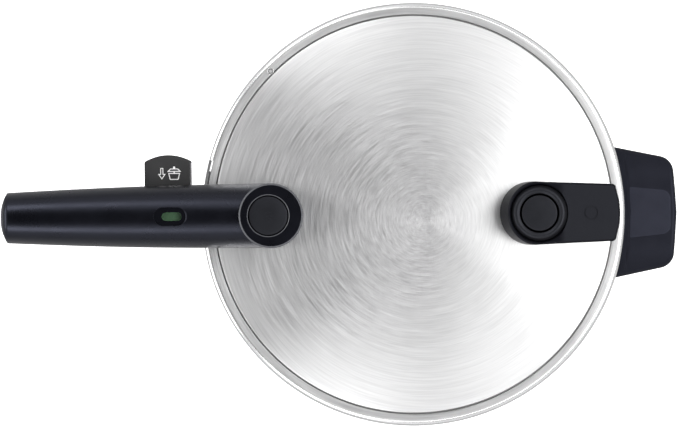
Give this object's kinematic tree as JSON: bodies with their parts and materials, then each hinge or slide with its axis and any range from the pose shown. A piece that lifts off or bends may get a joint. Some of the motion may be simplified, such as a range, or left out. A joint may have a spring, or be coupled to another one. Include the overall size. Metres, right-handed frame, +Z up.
{
  "type": "stovetop pressure cooker",
  "caption": "Steel stovetop pressure cooker with a bayonet lid, long black handles with a release button and lock window, a side grip and a valve unit with a level collar.",
  "frame": {"origin": "centre of the base, on the surface that the pot stands on", "axes": "+Z up through the middle of the lid, +X towards the side grip and the valve unit, -X along the long handles, +Y towards the placing tab"},
  "size_m": [0.4556, 0.285, 0.2013],
  "materials": {
    "satin_steel": "circular brushed",
    "bright_steel": "polished",
    "core_aluminium": "plain",
    "black_grip": "satin moulded",
    "black_trim": "satin moulded",
    "tab_grey": "satin painted",
    "silicone": "matt moulded",
    "clear_window": "clear gloss",
    "flag_green": "satin",
    "flag_red": "satin",
    "spring_steel": "drawn wire"
  },
  "bodies": {
    "pot": {"pot_shell": "satin_steel", "base_core": "core_aluminium", "base_cap": "satin_steel", "grip_bracket": "bright_steel", "flame_guard": "bright_steel", "pot_grip": "black_grip", "pot_grip_screw": "bright_steel", "keeper": "bright_steel", "placing_tab": "tab_grey", "tab_screw_1": "bright_steel", "tab_screw_2": "bright_steel", "side_bracket": "bright_steel", "side_grip": "black_grip", "side_screw_1": "bright_steel", "side_screw_2": "bright_steel"},
    "seal": {"seal_ring": "silicone"},
    "lid": {"lid_shell": "satin_steel", "rim_rivet": "bright_steel", "handle_shell": "black_grip", "handle_cover": "black_trim", "cover_screw_1": "bright_steel", "cover_screw_2": "bright_steel", "window_lens": "clear_window", "handle_bolt_1": "bright_steel", "handle_bolt_2": "bright_steel", "bolt_washer_1": "silicone", "bolt_washer_2": "silicone", "handle_nut_1": "bright_steel", "handle_nut_2": "bright_steel", "float_bush": "bright_steel", "unit_housing": "black_grip", "valve_body": "bright_steel", "valve_cage_lid": "bright_steel", "valve_washer": "silicone", "valve_nut": "bright_steel", "safety_plug": "silicone", "button_spring": "spring_steel", "latch_spring": "spring_steel", "valve_spring": "spring_steel"},
    "button": {"release_button": "black_trim"},
    "latch_slider": {"latch": "bright_steel", "flag_locked": "flag_green", "flag_open": "flag_red"},
    "float": {"float_pin": "bright_steel", "float_seal": "silicone"},
    "collar": {"level_collar": "black_trim"},
    "indicator": {"indicator_cap": "black_trim", "indicator_stem": "bright_steel"}
  },
  "joints": [
    {"name": "lid_lift", "type": "slide", "parent": "pot", "child": "seal", "axis": [0, 0, 1], "range_m": [0, 0.16]},
    {"name": "lid_turn", "type": "hinge", "parent": "seal", "child": "lid", "pos_m": [0, 0, 0.1519], "axis": [0, 0, -1], "range_deg": [0, 30]},
    {"name": "button_press", "type": "slide", "parent": "lid", "child": "button", "axis": [0, 0, -1], "range_m": [0, 0.004], "stiffness_N_per_m": 500, "springref_m": -0.002, "deforming": ["button_spring"]},
    {"name": "latch_slide", "type": "slide", "parent": "lid", "child": "latch_slider", "axis": [-1, 0, 0], "range_m": [0, 0.008], "stiffness_N_per_m": 250, "springref_m": -0.004, "deforming": ["latch_spring"]},
    {"name": "float_rise", "type": "slide", "parent": "lid", "child": "float", "axis": [0, 0, 1], "range_m": [0, 0.003]},
    {"name": "collar_turn", "type": "hinge", "parent": "lid", "child": "collar", "pos_m": [0.0842, 0, 0.19], "axis": [0, 0, -1], "range_deg": [0, 90]},
    {"name": "indicator_rise", "type": "slide", "parent": "lid", "child": "indicator", "axis": [0, 0, 1], "range_m": [0, 0.005], "stiffness_N_per_m": 200, "springref_m": -0.002, "deforming": ["valve_spring"]}
  ],
  "couplings": [
    {"joint": "latch_slide", "follows": "button_press", "ratio": 2}
  ]
}
